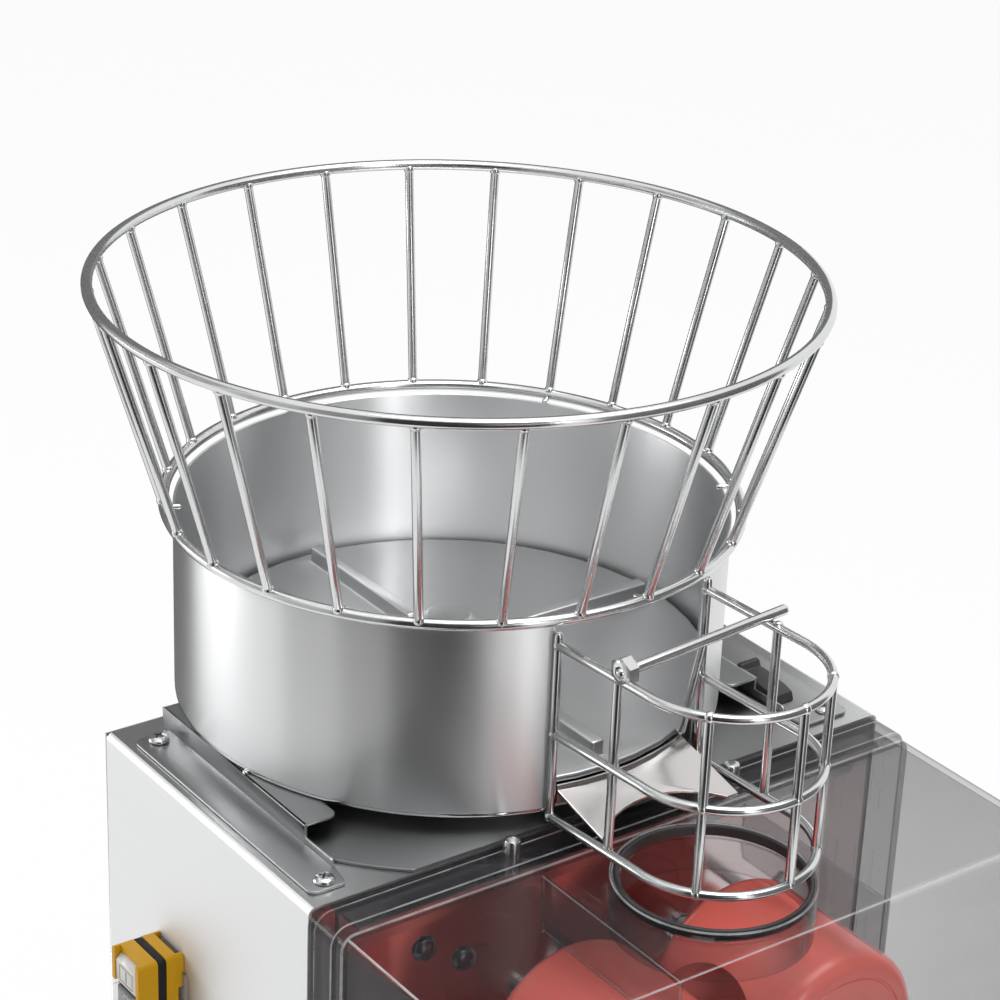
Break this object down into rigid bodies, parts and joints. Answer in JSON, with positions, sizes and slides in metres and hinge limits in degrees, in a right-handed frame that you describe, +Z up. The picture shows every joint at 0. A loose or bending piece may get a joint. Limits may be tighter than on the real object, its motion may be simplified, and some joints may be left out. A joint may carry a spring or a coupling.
{
  "type": "automatic orange juicer",
  "caption": "Countertop citrus juicer: wire fruit basket over a turntable hopper, guide cage, geared press drums behind a clear cover, juice tank with tap and peel bins.",
  "frame": {"origin": "centre of the footprint box, on the surface the machine stands on", "axes": "+Z up, -Y out of the front cover, +X to the right seen from the front"},
  "size_m": [0.4036, 0.5136, 0.7796],
  "materials": {
    "satin_steel": "fine brushed stainless sheet",
    "polished_steel": "polished stainless wire and bar",
    "rubber_black": "matt black rubber",
    "plastic_black": "black moulded plastic",
    "dark_metal": "dark zinc-plated and painted metal",
    "gear_steel": "machined gear steel",
    "press_red": "coral red food-safe moulding",
    "smoke_clear": "smoke-grey clear moulding",
    "plastic_grey": "grey moulded plastic",
    "plastic_yellow": "yellow switch moulding",
    "plastic_white": "translucent white rocker"
  },
  "bodies": {
    "machine": {"housing_shell": "satin_steel", "front_panel": "satin_steel", "rear_cover": "satin_steel", "base_plate": "satin_steel", "foot_front_left": "rubber_black", "foot_rear_left": "rubber_black", "foot_front_right": "rubber_black", "foot_rear_right": "rubber_black", "power_inlet": "plastic_black", "panel_screw_1": "dark_metal", "panel_screw_2": "dark_metal", "hopper_drum": "satin_steel", "drum_bracket_left": "satin_steel", "bracket_screw_rear_left": "polished_steel", "bracket_screw_front_left": "polished_steel", "peel_ejector_left": "polished_steel", "drum_bracket_right": "satin_steel", "bracket_screw_rear_right": "polished_steel", "bracket_screw_front_right": "polished_steel", "peel_ejector_right": "polished_steel", "drum_latch": "plastic_black", "turntable_motor": "dark_metal", "guide_cage": "polished_steel", "cage_crossbar": "polished_steel", "fruit_chute": "satin_steel", "cover_ledge": "polished_steel", "gear_frame": "dark_metal", "main_motor": "dark_metal", "knife": "polished_steel", "tank_shelf": "satin_steel", "switch_back_plate": "plastic_grey", "switch_rear_body": "plastic_yellow", "switch_seal": "rubber_black", "switch_front_body": "plastic_yellow"},
    "turntable": {"turntable": "satin_steel"},
    "basket": {"wire_basket": "polished_steel"},
    "cover": {"front_cover": "smoke_clear", "inlet_seal": "rubber_black"},
    "pinion": {"motor_pinion": "gear_steel"},
    "filter": {"filter_tray": "satin_steel"},
    "tank": {"juice_tank": "smoke_clear", "juice_tap": "polished_steel"},
    "tap_handle": {"tap_lever": "plastic_black"},
    "bin_left": {"peel_bin_left": "plastic_grey"},
    "bin_right": {"peel_bin_right": "plastic_grey"},
    "drip": {"drip_tray": "satin_steel"},
    "button_on": {"switch_button_on": "plastic_white"},
    "button_off": {"switch_button_off": "plastic_grey"},
    "cup_left": {"press_shaft_cup_left": "polished_steel", "drive_gear_cup_left": "gear_steel", "press_drum_cup_left": "press_red"},
    "cup_right": {"press_shaft_cup_right": "polished_steel", "drive_gear_cup_right": "gear_steel", "press_drum_cup_right": "press_red"},
    "ball_left": {"press_shaft_ball_left": "polished_steel", "drive_gear_ball_left": "gear_steel", "press_drum_ball_left": "press_red"},
    "ball_right": {"press_shaft_ball_right": "polished_steel", "drive_gear_ball_right": "gear_steel", "press_drum_ball_right": "press_red"}
  },
  "joints": [
    {"name": "turntable_spin", "type": "hinge", "parent": "machine", "child": "turntable", "pos_m": [0.00575, 0.0615, 0.5563], "axis": [0, 0, 1], "continuous": true},
    {"name": "basket_lift", "type": "slide", "parent": "machine", "child": "basket", "axis": [0, 0, 1], "range_m": [0, 0.15]},
    {"name": "cover_pull", "type": "slide", "parent": "machine", "child": "cover", "axis": [0, -1, 0], "range_m": [0, 0.16]},
    {"name": "cup_left_spin", "type": "hinge", "parent": "machine", "child": "cup_left", "pos_m": [-0.03965, -0.1613, 0.4333], "axis": [0, 1, 0], "continuous": true},
    {"name": "cup_right_spin", "type": "hinge", "parent": "machine", "child": "cup_right", "pos_m": [0.06835, -0.1613, 0.4333], "axis": [0, 1, 0], "continuous": true},
    {"name": "ball_left_spin", "type": "hinge", "parent": "machine", "child": "ball_left", "pos_m": [-0.07215, -0.1613, 0.33031], "axis": [0, 1, 0], "continuous": true},
    {"name": "ball_right_spin", "type": "hinge", "parent": "machine", "child": "ball_right", "pos_m": [0.10085, -0.1613, 0.33031], "axis": [0, 1, 0], "continuous": true},
    {"name": "pinion_spin", "type": "hinge", "parent": "machine", "child": "pinion", "pos_m": [0.06305, -0.0665, 0.26483], "axis": [0, 1, 0], "continuous": true},
    {"name": "filter_pull", "type": "slide", "parent": "machine", "child": "filter", "axis": [0, -1, 0], "range_m": [0, 0.14]},
    {"name": "tank_pull", "type": "slide", "parent": "machine", "child": "tank", "axis": [0, -1, 0], "range_m": [0, 0.14]},
    {"name": "bin_left_pull", "type": "slide", "parent": "machine", "child": "bin_left", "axis": [0, -1, 0], "range_m": [0, 0.15]},
    {"name": "bin_right_pull", "type": "slide", "parent": "machine", "child": "bin_right", "axis": [0, -1, 0], "range_m": [0, 0.15]},
    {"name": "drip_pull", "type": "slide", "parent": "machine", "child": "drip", "axis": [0, -1, 0], "range_m": [0, 0.14]},
    {"name": "tap_turn", "type": "hinge", "parent": "tank", "child": "tap_handle", "pos_m": [0.01435, -0.2268, 0.1703], "axis": [0, 0, 1], "range_deg": [-90, 90]},
    {"name": "button_on_push", "type": "slide", "parent": "machine", "child": "button_on", "axis": [1, 0, 0], "range_m": [0, 0.0024], "stiffness_N_per_m": 400},
    {"name": "button_off_push", "type": "slide", "parent": "machine", "child": "button_off", "axis": [1, 0, 0], "range_m": [0, 0.0024], "stiffness_N_per_m": 400}
  ],
  "couplings": [
    {"joint": "cup_right_spin", "follows": "cup_left_spin", "ratio": -1},
    {"joint": "ball_left_spin", "follows": "cup_left_spin", "ratio": -1},
    {"joint": "ball_right_spin", "follows": "cup_left_spin", "ratio": 1},
    {"joint": "pinion_spin", "follows": "cup_left_spin", "ratio": -2.5}
  ]
}
